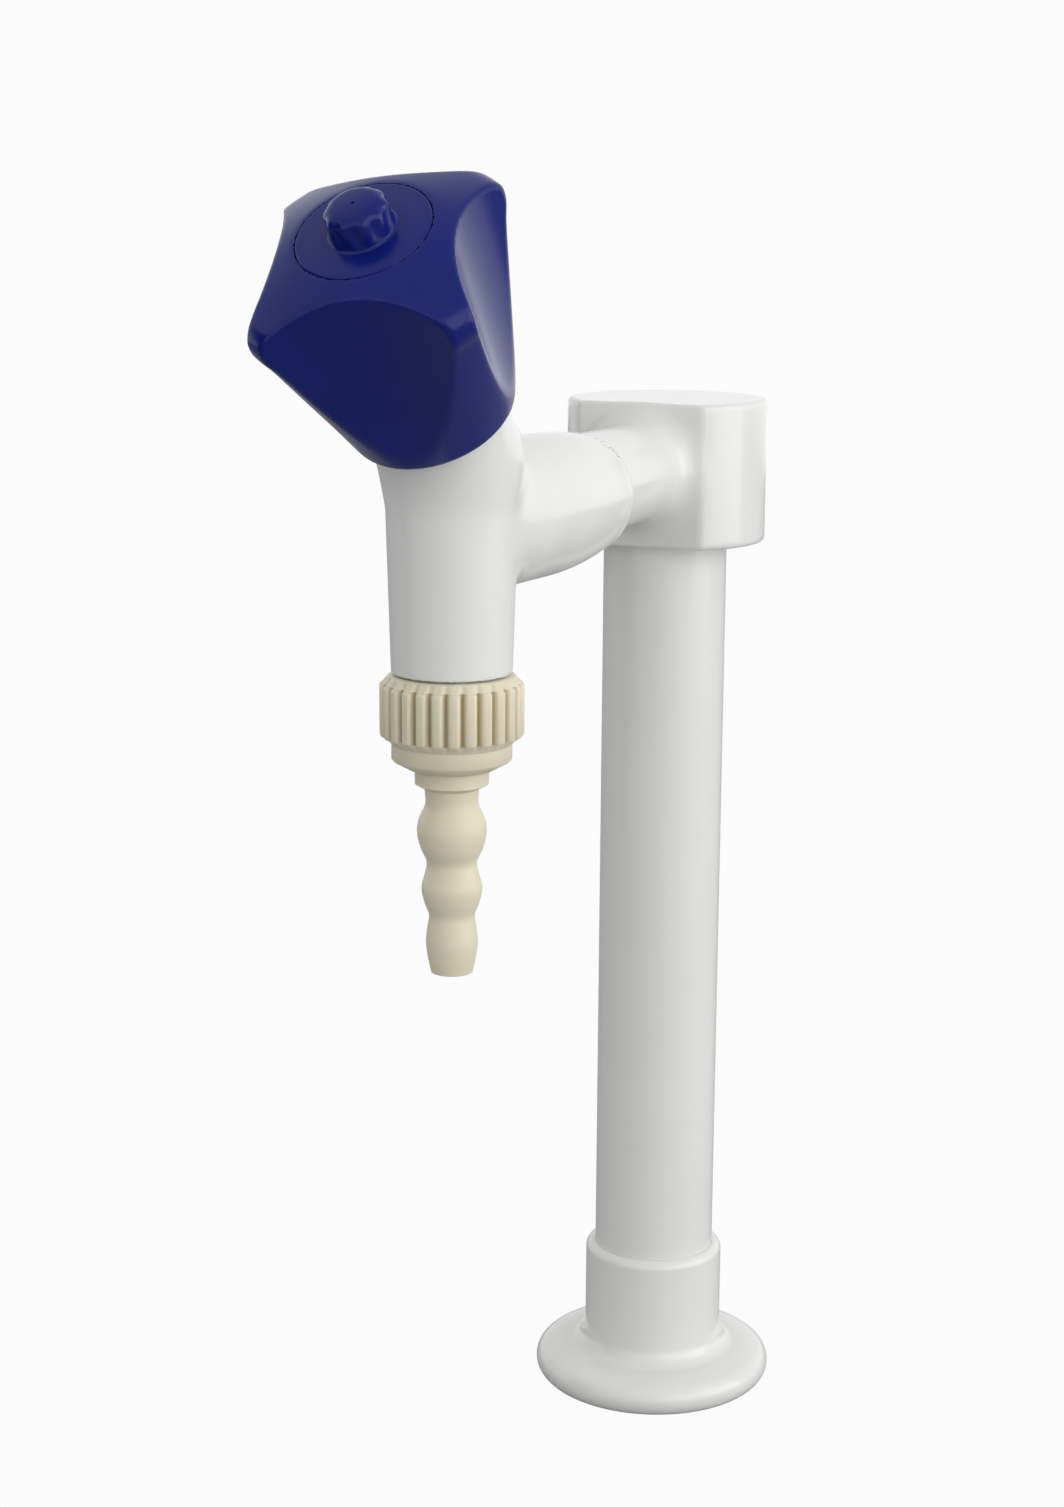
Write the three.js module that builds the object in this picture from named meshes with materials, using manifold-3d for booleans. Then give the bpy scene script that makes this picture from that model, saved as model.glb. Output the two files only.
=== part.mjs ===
// A bench-mounted laboratory water tap: flanged foot, column, D-shaped head with its arm,
// a Y-shaped valve body under a four-lobed knob, and a hose nozzle held by a ribbed nut.
// Millimetres. The origin is the middle of the foot's underside, Z is up, the arm points to -Y.
import * as THREE from 'three';
import { mergeVertices } from 'three/addons/utils/BufferGeometryUtils.js';
import Module from 'manifold-3d';

const wasm = await Module();
wasm.setup();

// Driving sizes of the casting and the column
const flangeRadius = 28;
const flangeRimRound = 3.7;
const collarRadius = 16.2;
const collarTop = 34;
const columnRadius = 14;
const columnWall = 1.8;
const armHeight = 221;
const armRadius = 10.6;
const headHeight = 32;
const headFootDrop = 17;
const headRadius = 22.5;
const headFlatDistance = 16.8;
const outletDistance = 112.1;
const axesCrossRise = 11.5;
const bonnetTiltDegrees = 39.4;

// Clearances shared by mating pieces
const seatedGap = 0.05;
const looseGap = 0.3;
const cutOverrun = 2;

// How finely round pieces are drawn
const fineSteps = 36;
const roundSteps = 32;
const smallSteps = 20;
const cornerSteps = 4;
const socketSteps = 10;
const barbSteps = 26;
const knobSteps = 18;
const scoopSteps = 96;
const quarterTurn = Math.PI / 2;
const weldShare = 1e-6;

const part = new THREE.Group();
part.name = 'laboratory_tap';

const finishes = {
  whiteEnamel: new THREE.MeshStandardMaterial({ color: 0xf1f3f2, roughness: 0.18, metalness: 0.0 }),
  blueKnob: new THREE.MeshStandardMaterial({ color: 0x142c96, roughness: 0.22, metalness: 0.0 }),
  creamPlastic: new THREE.MeshStandardMaterial({ color: 0xe4dcc0, roughness: 0.45, metalness: 0.0 }),
  brass: new THREE.MeshStandardMaterial({ color: 0xc9a24a, roughness: 0.35, metalness: 1.0 }),
  steel: new THREE.MeshStandardMaterial({ color: 0xb9bcc0, roughness: 0.3, metalness: 1.0 }),
  blackRubber: new THREE.MeshStandardMaterial({ color: 0x17181a, roughness: 0.8, metalness: 0.0 }),
};

// Welds a geometry's corners, drops slivers and turns its faces outward, ready to be cut.
function solidFrom(geometry) {
  const bare = geometry.clone();
  bare.deleteAttribute('normal');
  bare.deleteAttribute('uv');
  bare.computeBoundingSphere();
  const welded = mergeVertices(bare, bare.boundingSphere.radius * weldShare);
  const places = welded.getAttribute('position');
  const corners = [];
  let volume = 0;
  const a = new THREE.Vector3();
  const b = new THREE.Vector3();
  const c = new THREE.Vector3();
  for (let i = 0; i < welded.index.count; i += 3) {
    const [p, q, r] = [0, 1, 2].map((k) => welded.index.getX(i + k));
    if (p === q || q === r || r === p) continue;
    corners.push([p, q, r]);
    a.fromBufferAttribute(places, p);
    b.fromBufferAttribute(places, q);
    c.fromBufferAttribute(places, r);
    volume += a.dot(b.cross(c));
  }
  const facing = volume > 0 ? corners : corners.map(([p, q, r]) => [p, r, q]);
  const mesh = new wasm.Mesh({
    numProp: 3,
    vertProperties: new Float32Array(places.array),
    triVerts: new Uint32Array(facing.flat()),
  });
  return new wasm.Manifold(mesh);
}

// A body turned about its own axis from [radius, height] points, then put in its place.
function turned(profile, place = new THREE.Matrix4(), steps = roundSteps) {
  const points = profile.map(([radius, height]) => new THREE.Vector2(radius, height));
  const geometry = new THREE.LatheGeometry(points, steps);
  geometry.rotateX(quarterTurn);
  geometry.applyMatrix4(place);
  return solidFrom(geometry);
}

// A plain ring between two radii and two heights.
function ring(inner, outer, low, high, place, steps) {
  return turned([[inner, low], [outer, low], [outer, high], [inner, high], [inner, low]], place, steps);
}

// A plain round bar, used for shanks and for boring holes.
function bar(radius, low, high, place, steps) {
  return turned([[0, low], [radius, low], [radius, high], [0, high]], place, steps);
}

// Points on an arc in a profile, from one angle to the other in degrees.
function arc(centreRadius, centreHeight, radius, from, to, steps = cornerSteps) {
  const points = [];
  for (let i = 0; i <= steps; i += 1) {
    const angle = THREE.MathUtils.degToRad(from + ((to - from) * i) / steps);
    points.push([centreRadius + radius * Math.cos(angle), centreHeight + radius * Math.sin(angle)]);
  }
  return points;
}

// Points on a smooth curve through the named points of a profile.
function smooth(points, steps) {
  const curve = new THREE.SplineCurve(points.map(([r, h]) => new THREE.Vector2(r, h)));
  return curve.getPoints(steps).map((point) => [point.x, point.y]);
}

// A flat outline pushed along Z between two heights, then put in its place.
function pushed(shape, low, high, place = new THREE.Matrix4(), curveSteps = roundSteps) {
  const options = { depth: high - low, bevelEnabled: false, curveSegments: curveSteps };
  const geometry = new THREE.ExtrudeGeometry(shape, options);
  geometry.translate(0, 0, low);
  geometry.applyMatrix4(place);
  return solidFrom(geometry);
}

// A hexagon outline given by the distance across its flats.
function hexagon(acrossFlats) {
  const corner = acrossFlats / 2 / Math.cos(Math.PI / 6);
  const points = [0, 1, 2, 3, 4, 5].map((i) => {
    const angle = (i * Math.PI) / 3;
    return new THREE.Vector2(corner * Math.cos(angle), corner * Math.sin(angle));
  });
  return new THREE.Shape(points);
}

// Adds a finished solid to the part under its own name.
function keep(name, solid, material) {
  const cut = solid.getMesh();
  const geometry = new THREE.BufferGeometry();
  geometry.setAttribute('position', new THREE.BufferAttribute(new Float32Array(cut.vertProperties), 3));
  geometry.setIndex(Array.from(cut.triVerts));
  geometry.computeVertexNormals();
  const mesh = new THREE.Mesh(geometry, material);
  mesh.name = name;
  part.add(mesh);
}

// Places: the arm's axis points to -Y, the socket's axis lies a little lower,
// the outlet's axis points up and the bonnet's axis leans away from the column.
const armPlace = new THREE.Matrix4()
  .makeTranslation(0, 0, armHeight)
  .multiply(new THREE.Matrix4().makeRotationX(quarterTurn));
const socketDrop = 1.4;
const socketPlace = new THREE.Matrix4().makeTranslation(0, 0, -socketDrop).multiply(armPlace);
const outletPlace = new THREE.Matrix4().makeTranslation(0, -outletDistance, 0);
const axesCrossHeight = armHeight + axesCrossRise;
const bonnetPlace = new THREE.Matrix4()
  .makeTranslation(0, -outletDistance, axesCrossHeight)
  .multiply(new THREE.Matrix4().makeRotationX(THREE.MathUtils.degToRad(bonnetTiltDegrees)));

// Foot: a thick round flange with a fat rim, hollowed into a collar that takes the column
const flangeThickness = 2 * flangeRimRound;
const flangeCrown = 0.8;
const collarFillet = 4;
const collarShoulder = 2;
const columnSeat = 13;
const footSealThickness = 1.5;
const bushBodyRadius = 12;
const bushLength = 12;
const bushFlangeReach = 1.6;
const bushFlangeThickness = 1.6;
const bushWall = 2.6;
const gasketInner = 19.5;
const gasketOuter = 24;
const gasketDepth = 1.6;

const bushFlangeRadius = bushBodyRadius + bushFlangeReach;
const bushThreadRadius = bushBodyRadius - bushWall;
const flangeTop = flangeThickness + flangeCrown;
const rimCentre = flangeRadius - flangeRimRound;
const columnSocket = columnRadius + seatedGap;
keep('base_flange', turned([
  [bushFlangeRadius + seatedGap, 0],
  [gasketInner - seatedGap, 0],
  [gasketInner - seatedGap, gasketDepth + seatedGap],
  [gasketOuter + seatedGap, gasketDepth + seatedGap],
  [gasketOuter + seatedGap, 0],
  ...arc(rimCentre, flangeRimRound, flangeRimRound, -90, 90, 2 * cornerSteps),
  ...arc(collarRadius + collarFillet, flangeTop + collarFillet, collarFillet, -90, -180),
  ...arc(collarRadius - collarShoulder, collarTop - collarShoulder, collarShoulder, 0, 90),
  [columnSocket, collarTop],
  [columnSocket, columnSeat],
  [bushBodyRadius + seatedGap, columnSeat],
  [bushBodyRadius + seatedGap, bushFlangeThickness + seatedGap],
  [bushFlangeRadius + seatedGap, bushFlangeThickness + seatedGap],
  [bushFlangeRadius + seatedGap, 0],
], undefined, fineSteps), finishes.whiteEnamel);

keep('base_gasket', ring(gasketInner, gasketOuter, 0, gasketDepth, undefined, fineSteps),
  finishes.blackRubber);

keep('inlet_bush', turned([
  [bushThreadRadius, 0],
  [bushFlangeRadius, 0],
  [bushFlangeRadius, bushFlangeThickness],
  [bushBodyRadius, bushFlangeThickness],
  [bushBodyRadius, bushLength],
  [bushThreadRadius, bushLength],
  [bushThreadRadius, 0],
], undefined, fineSteps), finishes.brass);

// Column: a plain tube between two flat seals
const sealInset = 0.4;
const columnBore = columnRadius - columnWall;
const columnFoot = columnSeat + footSealThickness + 2 * seatedGap;
const headSocketDepth = 9;
const headSealThickness = 1.5;
const headBottom = armHeight - headFootDrop;
const headSocketTop = headBottom + headSocketDepth;
const columnTop = headSocketTop - headSealThickness - 2 * seatedGap;

keep('column_foot_seal', ring(columnBore + sealInset, columnRadius - sealInset / 2,
  columnSeat + seatedGap, columnFoot - seatedGap, undefined, fineSteps), finishes.blackRubber);
keep('column_tube', ring(columnBore, columnRadius, columnFoot, columnTop, undefined, fineSteps),
  finishes.whiteEnamel);
keep('column_head_seal', ring(columnBore - sealInset, columnRadius - sealInset / 2,
  columnTop + seatedGap, headSocketTop - seatedGap, undefined, fineSteps), finishes.blackRubber);

// Head: a D-shaped block cast in one with the arm that carries the valve
const headEdgeRound = 1.1;
const headCoreRadius = 10;
const headCoreDepth = 24;
const armFillet = 2;
const armEndRadius = 11.1;
const armBore = 6.5;
const socketMouth = 50;
const armShoulder = 62;
const armEnd = 76;
const armSpigotRadius = 9.4;

const headReach = headRadius - headEdgeRound;
const headFlat = headFlatDistance - headEdgeRound;
const headSpread = Math.asin(headFlat / headReach);
const headOutline = new THREE.Shape();
headOutline.absarc(0, 0, headReach, -headSpread, Math.PI + headSpread, false);
headOutline.closePath();
const headBlock = new THREE.ExtrudeGeometry(headOutline, {
  depth: headHeight - 2 * headEdgeRound,
  bevelEnabled: true,
  bevelThickness: headEdgeRound,
  bevelSize: headEdgeRound,
  bevelSegments: 3,
  curveSegments: roundSteps,
});
headBlock.translate(0, 0, headBottom + headEdgeRound);

const armRoot = headFlatDistance + armFillet;
const armProfile = [
  [0, 0],
  [armRadius + armFillet, 0],
  ...arc(armRadius + armFillet, armRoot, armFillet, -90, -180),
  [armEndRadius, armShoulder],
  [armSpigotRadius, armShoulder],
  [armSpigotRadius, armEnd],
  [0, armEnd],
];
const columnHead = solidFrom(headBlock)
  .add(turned(armProfile, armPlace))
  .subtract(bar(columnSocket, headBottom - cutOverrun, headSocketTop, undefined, fineSteps))
  .subtract(bar(headCoreRadius, headBottom, headBottom + headCoreDepth, undefined, roundSteps))
  .subtract(bar(armBore, 0, armEnd + cutOverrun, armPlace, smallSteps));
keep('column_head', columnHead, finishes.whiteEnamel);

// Valve body: arm socket, outlet tube and bonnet boss cast in one
const armSealThickness = 1.5;
const socketRadius = 14.4;
const socketEndRadius = 11.9;
const socketDepthEnd = armEnd + armSealThickness + 2 * seatedGap;
const outletTopRadius = 12.9;
const outletLowRadius = 11.7;
const outletTopDrop = 0.5;
const nutTopDrop = 41.1;
const spigotRadius = 9.9;
const spigotLength = 9.7;
const outletBore = 6.5;
const outletBoreDrop = 20.5;
const bonnetRadius = 13;
const bonnetEnd = 29;
const bonnetRootRadius = 13.4;
const chamberRadius = 9.5;
const chamberFloor = 4;
const seatRingRadius = 6;
const seatRecess = 1;
const seatHoleRadius = 3.8;
const seatHoleDepth = -14;
const portRadius = 2.8;
const portSpacing = 6.6;
const portTopReach = 9.5;
const portTopRise = 0.5;
const portFootReach = 2.4;
const portFootDrop = 23.5;
const socketCurve = [
  [socketEndRadius, 0],
  [13.2, 5],
  [13.9, 11],
  [socketRadius, 19],
  [14.2, 34],
  [13.4, 47],
  [10.5, 57],
];

const nutTop = axesCrossHeight - nutTopDrop;
const outletTop = axesCrossHeight - outletTopDrop;
const outletShoulder = nutTop + seatedGap + looseGap;
const spigotEnd = nutTop - spigotLength;
const portTop = new THREE.Vector3(0, -outletDistance - portTopReach, axesCrossHeight + portTopRise);
const portFoot = new THREE.Vector3(0, -outletDistance - portFootReach, axesCrossHeight - portFootDrop);
const socketProfile = [
  [0, socketMouth],
  ...smooth(socketCurve.map(([radius, depth]) => [radius, socketMouth + depth]), socketSteps),
  [0, outletDistance],
];
const outletProfile = [
  [0, spigotEnd],
  [spigotRadius, spigotEnd],
  [spigotRadius, outletShoulder],
  [outletLowRadius, outletShoulder],
  [outletTopRadius, outletTop],
  ...arc(0, outletTop, outletTopRadius, 0, 90),
];
const bossProfile = [
  [0, -bonnetRootRadius],
  ...arc(0, 0, bonnetRootRadius, -90, 0),
  [bonnetRadius, bonnetEnd],
  [0, bonnetEnd],
];

// A slanting port from the chamber around the seat down to the outlet's bore
function slantingPort(side) {
  const along = new THREE.Vector3().subVectors(portTop, portFoot);
  const place = new THREE.Matrix4()
    .makeTranslation(portFoot.x + side * portSpacing / 2, portFoot.y, portFoot.z)
    .multiply(new THREE.Matrix4().makeRotationX(Math.atan2(-along.y, along.z)));
  return bar(portRadius, 0, along.length(), place, smallSteps);
}

const valveBody = turned(socketProfile, socketPlace)
  .add(turned(outletProfile, outletPlace))
  .add(turned(bossProfile, bonnetPlace))
  .subtract(bar(armEndRadius + looseGap, socketMouth - cutOverrun, armShoulder + looseGap, armPlace))
  .subtract(bar(armSpigotRadius + looseGap, socketMouth, socketDepthEnd, armPlace))
  .subtract(bar(armBore, socketMouth, outletDistance - seatHoleRadius * 2, armPlace, smallSteps))
  .subtract(bar(seatHoleRadius, seatHoleDepth, bonnetEnd, bonnetPlace, smallSteps))
  .subtract(bar(seatRingRadius + seatedGap, seatRecess, bonnetEnd, bonnetPlace))
  .subtract(bar(chamberRadius, chamberFloor, bonnetEnd + cutOverrun, bonnetPlace))
  .subtract(slantingPort(-1))
  .subtract(slantingPort(1))
  .subtract(bar(outletBore, spigotEnd - cutOverrun, axesCrossHeight - outletBoreDrop, outletPlace, smallSteps));
keep('valve_body', valveBody, finishes.whiteEnamel);

keep('arm_seal', ring(armBore + sealInset, armSpigotRadius, armEnd + seatedGap,
  socketDepthEnd - seatedGap, armPlace), finishes.blackRubber);

// Valve seat: a ring let into the chamber floor, with a raised lip for the washer
const seatLipRadius = 5;
const seatLipHeight = 2;
const seatLipTop = chamberFloor + seatLipHeight;
keep('valve_seat', turned([
  [seatHoleRadius, seatRecess + seatedGap],
  [seatRingRadius, seatRecess + seatedGap],
  [seatRingRadius, chamberFloor],
  [seatLipRadius, chamberFloor],
  [seatLipRadius, seatLipTop],
  [seatHoleRadius, seatLipTop],
  [seatHoleRadius, seatRecess + seatedGap],
], bonnetPlace), finishes.steel);

// Headwork: a threaded barrel in the boss, a hexagon on its gasket and a neck for the spindle
const headworkBarrelLength = 17;
const headworkFoot = bonnetEnd - headworkBarrelLength;
const headworkRadius = chamberRadius - looseGap;
const headworkGasketThickness = 1;
const hexagonFoot = bonnetEnd + headworkGasketThickness + 2 * seatedGap;
const hexagonHeight = 5.9;
const hexagonFlats = 22;
const neckRadius = 7.5;
const neckHeight = 5;
const slideChamberRadius = 7;
const slideRoofDrop = 1.2;
const spindleRadius = 3.9;
const spindleClearance = 0.1;

const hexagonTop = hexagonFoot + hexagonHeight;
const neckTop = hexagonTop + neckHeight;
const slideChamberRoof = bonnetEnd - slideRoofDrop;
const headworkBody = bar(headworkRadius, headworkFoot, hexagonTop, bonnetPlace)
  .add(pushed(hexagon(hexagonFlats), hexagonFoot, hexagonTop, bonnetPlace))
  .add(bar(neckRadius, hexagonFoot, neckTop, bonnetPlace))
  .subtract(bar(slideChamberRadius, headworkFoot - cutOverrun, slideChamberRoof, bonnetPlace))
  .subtract(bar(spindleRadius + spindleClearance, headworkFoot, neckTop + cutOverrun, bonnetPlace));
keep('headwork_body', headworkBody, finishes.brass);
keep('headwork_gasket', ring(headworkRadius + looseGap, bonnetRadius - sealInset,
  bonnetEnd + seatedGap, hexagonFoot - seatedGap, bonnetPlace), finishes.blackRubber);

// Spindle: a collar held under the headwork's roof, a thread below it that lifts the
// jumper, two grooves for sealing rings, a groove for the clip and a splined top
const spindleThreadLength = 9.4;
const spindleThreadRadius = 4;
const collarDisc = 6.2;
const collarThickness = 1.5;
const thrustWasherThickness = 0.8;
const grooveRadius = 3;
const grooveWidth = 2;
const lowerGrooveRise = 0.9;
const groovePitch = 4.5;
const clipThickness = 0.8;
const clipRadius = 6;
const clipGrooveWidth = 1.3;
const splineLength = 6;
const splineRootRadius = 3.3;
const splineCount = 12;
const knobScrewHole = 1.9;
const knobScrewHoleDepth = 10.6;

const thrustWasherFoot = slideChamberRoof - seatedGap - thrustWasherThickness;
const collarHigh = thrustWasherFoot - seatedGap;
const collarFoot = collarHigh - collarThickness;
const spindleFoot = collarFoot - spindleThreadLength;
const lowerGroove = hexagonFoot + lowerGrooveRise;
const upperGroove = lowerGroove + groovePitch;
const clipGrooveFoot = neckTop + looseGap;
const splineFoot = clipGrooveFoot + clipGrooveWidth;
const splineTop = splineFoot + splineLength;

function splineShape(tipRadius, rootRadius) {
  const points = [];
  for (let i = 0; i < 2 * splineCount; i += 1) {
    const angle = (i * Math.PI) / splineCount;
    const radius = i % 2 === 0 ? tipRadius : rootRadius;
    points.push(new THREE.Vector2(radius * Math.cos(angle), radius * Math.sin(angle)));
  }
  return new THREE.Shape(points);
}

const spindle = turned([
  [0, spindleFoot],
  [spindleThreadRadius, spindleFoot],
  [spindleThreadRadius, collarFoot],
  [collarDisc, collarFoot],
  [collarDisc, collarHigh],
  [spindleRadius, collarHigh],
  [spindleRadius, lowerGroove],
  [grooveRadius, lowerGroove],
  [grooveRadius, lowerGroove + grooveWidth],
  [spindleRadius, lowerGroove + grooveWidth],
  [spindleRadius, upperGroove],
  [grooveRadius, upperGroove],
  [grooveRadius, upperGroove + grooveWidth],
  [spindleRadius, upperGroove + grooveWidth],
  [spindleRadius, clipGrooveFoot],
  [grooveRadius, clipGrooveFoot],
  [grooveRadius, splineFoot],
  [0, splineFoot],
], bonnetPlace, smallSteps)
  .add(pushed(splineShape(spindleRadius, splineRootRadius), splineFoot - seatedGap, splineTop, bonnetPlace))
  .subtract(bar(knobScrewHole, splineTop - knobScrewHoleDepth, splineTop + cutOverrun, bonnetPlace, smallSteps));
keep('spindle', spindle, finishes.brass);

const ringInner = grooveRadius + seatedGap;
const ringOuter = spindleRadius + spindleClearance / 2;
function sealingRing(name, foot) {
  const low = foot + seatedGap;
  const high = foot + grooveWidth - seatedGap;
  keep(name, ring(ringInner, ringOuter, low, high, bonnetPlace, smallSteps), finishes.blackRubber);
}
sealingRing('spindle_ring_lower', lowerGroove);
sealingRing('spindle_ring_upper', upperGroove);
keep('thrust_washer', ring(spindleRadius + looseGap, collarDisc, thrustWasherFoot,
  thrustWasherFoot + thrustWasherThickness, bonnetPlace, smallSteps), finishes.creamPlastic);

// Clip: an open spring ring in the spindle's groove, resting over the headwork's neck
const clipMouth = 4;
const clipRing = ring(ringInner, clipRadius, clipGrooveFoot + seatedGap,
  clipGrooveFoot + seatedGap + clipThickness, bonnetPlace, smallSteps);
const clipSlot = new THREE.Shape([
  new THREE.Vector2(0, -clipMouth / 2),
  new THREE.Vector2(clipRadius + cutOverrun, -clipMouth / 2),
  new THREE.Vector2(clipRadius + cutOverrun, clipMouth / 2),
  new THREE.Vector2(0, clipMouth / 2),
]);
keep('spindle_clip', clipRing.subtract(pushed(clipSlot, clipGrooveFoot - cutOverrun,
  clipGrooveFoot + clipThickness + cutOverrun, bonnetPlace)), finishes.steel);

// Jumper: a flatted nut that slides in the headwork and carries the washer on a screw
const washerThickness = 2.4;
const washerRadius = 5.6;
const washerFoot = seatLipTop + seatedGap;
const jumperFoot = washerFoot + washerThickness + seatedGap;
const jumperDiscRadius = 6.4;
const jumperDiscThickness = 2.5;
const jumperLength = 10.4;
const jumperRadius = 6.6;
const jumperFlats = 11.4;
const jumperFloorThickness = 1.2;
const washerScrewRadius = 1.5;
const washerScrewGrip = 2.1;
const washerScrewHeadRadius = 3;
const washerScrewHeadThickness = 1.6;

const jumperDiscTop = jumperFoot + jumperDiscThickness;
const jumperTop = jumperDiscTop + jumperLength;
const jumperBoreFloor = jumperDiscTop + jumperFloorThickness;
const washerScrewTop = jumperFoot + washerScrewGrip;

const flatCut = new THREE.Shape([
  new THREE.Vector2(jumperFlats / 2, -jumperRadius - cutOverrun),
  new THREE.Vector2(jumperRadius + cutOverrun, -jumperRadius - cutOverrun),
  new THREE.Vector2(jumperRadius + cutOverrun, jumperRadius + cutOverrun),
  new THREE.Vector2(jumperFlats / 2, jumperRadius + cutOverrun),
]);
const otherFlat = new THREE.Matrix4().multiply(bonnetPlace)
  .multiply(new THREE.Matrix4().makeRotationZ(Math.PI));
const jumper = bar(jumperDiscRadius, jumperFoot, jumperDiscTop, bonnetPlace, smallSteps)
  .add(bar(jumperRadius, jumperDiscTop - seatedGap, jumperTop, bonnetPlace, smallSteps)
    .subtract(pushed(flatCut, jumperDiscTop, jumperTop + cutOverrun, bonnetPlace))
    .subtract(pushed(flatCut, jumperDiscTop, jumperTop + cutOverrun, otherFlat)))
  .subtract(bar(spindleThreadRadius + looseGap, jumperBoreFloor, jumperTop + cutOverrun, bonnetPlace,
    smallSteps))
  .subtract(bar(washerScrewRadius + seatedGap, jumperFoot - cutOverrun, washerScrewTop + looseGap,
    bonnetPlace, smallSteps));
keep('jumper', jumper, finishes.brass);
keep('jumper_washer', ring(washerScrewRadius + seatedGap, washerRadius, washerFoot,
  washerFoot + washerThickness, bonnetPlace, smallSteps), finishes.blackRubber);
const washerScrewHeadTop = washerFoot - seatedGap;
keep('washer_screw', turned([
  [0, washerScrewHeadTop - washerScrewHeadThickness],
  [washerScrewHeadRadius, washerScrewHeadTop - washerScrewHeadThickness],
  [washerScrewHeadRadius, washerScrewHeadTop],
  [washerScrewRadius, washerScrewHeadTop],
  [washerScrewRadius, washerScrewTop],
  [0, washerScrewTop],
], bonnetPlace, smallSteps), finishes.steel);

// Knob: a hollow moulding, broad below its crown and narrow at its rim round the boss, with
// four finger scoops, splined onto the spindle
const knobWebThickness = 1.4;
const wellDepth = 4.3;
const indexRecessDepth = 1.7;
const knobHeight = 43;
const knobRimRadius = 15.9;
const knobRimRound = 0.8;
const knobCrownDrop = 0.2;
const knobSkirtWall = 1.7;
const knobRoofThickness = 9.3;
const hubRadius = 6.4;
const recessRadius = 12.7;
const wellRadius = 4.2;

// The knob's side before it is scooped, as radius and depth below the index disc
const knobCurve = [
  [18.8, 34],
  [22.2, 24],
  [25.6, 14],
  [27.2, 9.6],
  [27, 7.5],
  [24.6, 4.9],
  [20.6, 3],
  [16.9, 1.5],
];

// The finger scoops: how far each hollow is from the axis, its radius and the first one's turn
const scoopCount = 4;
const scoopDistance = 16.7;
const scoopHollow = 36;
const firstScoopDegrees = -79;

const hubFoot = splineFoot + 2 * seatedGap;
const wellFloor = splineTop + knobWebThickness;
const recessFloor = wellFloor + wellDepth;
const indexHeight = recessFloor + indexRecessDepth;
const knobCavityRoof = recessFloor - knobRoofThickness;
const knobRim = indexHeight - knobHeight;
const knobSkin = turned([
  [0, knobRim],
  ...arc(knobRimRadius - knobRimRound, knobRim + knobRimRound, knobRimRound, -90, 0, 2),
  ...smooth(knobCurve.map(([radius, depth]) => [radius, indexHeight - depth]), knobSteps),
  [recessRadius, indexHeight - knobCrownDrop],
  [0, indexHeight - knobCrownDrop],
], bonnetPlace, fineSteps);

const fingerScoops = [];
for (let i = 0; i < scoopCount; i += 1) {
  const place = new THREE.Matrix4().multiply(bonnetPlace)
    .multiply(new THREE.Matrix4().makeRotationZ(THREE.MathUtils.degToRad(firstScoopDegrees + (360 * i) / scoopCount)))
    .multiply(new THREE.Matrix4().makeTranslation(scoopDistance + scoopHollow, 0, 0));
  fingerScoops.push(bar(scoopHollow, knobRim - cutOverrun, indexHeight + cutOverrun, place, scoopSteps));
}

const hubSleeve = bar(hubRadius, hubFoot, knobCavityRoof + cutOverrun, bonnetPlace, smallSteps);
const knobCavity = turned([
  [0, knobRim - cutOverrun],
  [knobRimRadius - knobSkirtWall, knobRim - cutOverrun],
  [knobRimRadius - knobSkirtWall, knobCavityRoof],
  [0, knobCavityRoof],
], bonnetPlace);
const splineHole = splineShape(spindleRadius + spindleClearance, splineRootRadius + spindleClearance);
const knob = fingerScoops
  .reduce((body, scoop) => body.subtract(scoop), knobSkin)
  .subtract(knobCavity)
  .add(hubSleeve)
  .subtract(pushed(splineHole, hubFoot - cutOverrun, splineTop + looseGap, bonnetPlace))
  .subtract(bar(knobScrewHole + looseGap, hubFoot - cutOverrun, recessFloor, bonnetPlace, smallSteps))
  .subtract(bar(wellRadius, wellFloor, indexHeight, bonnetPlace, smallSteps))
  .subtract(bar(recessRadius, recessFloor, indexHeight + cutOverrun, bonnetPlace));
keep('knob', knob, finishes.blueKnob);

const knobScrewHeadRadius = 3.5;
const knobScrewHeadHeight = 2.5;
const knobScrewHeadRound = 0.8;
const knobScrewLength = 10;
const knobScrewHeadFoot = wellFloor + seatedGap;
const knobScrewHeadTop = knobScrewHeadFoot + knobScrewHeadHeight;
const knobScrewFoot = knobScrewHeadFoot - knobScrewLength;
keep('knob_screw', turned([
  [0, knobScrewFoot],
  [knobScrewHole - seatedGap, knobScrewFoot],
  [knobScrewHole - seatedGap, knobScrewHeadFoot],
  [knobScrewHeadRadius, knobScrewHeadFoot],
  ...arc(knobScrewHeadRadius - knobScrewHeadRound, knobScrewHeadTop - knobScrewHeadRound, knobScrewHeadRound, 0, 90, 2),
  [0, knobScrewHeadTop],
], bonnetPlace, smallSteps), finishes.steel);

// Index cap: a thin disc that plugs the screw's well, with a small ribbed nub on top
const capRadius = recessRadius - looseGap;
const capFoot = recessFloor + seatedGap;
const capPlugRadius = wellRadius - looseGap / 2;
const capPlugFoot = knobScrewHeadTop + looseGap;
const capEdgeRound = 0.4;
const nubRadius = 6;
const nubHeight = 6;
const nubCrownRadius = 4.6;
const nubCrownDrop = 1.4;
const nubRibCount = 10;
const nubRibDepth = 0.45;
const nubTop = indexHeight + nubHeight;

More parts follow.
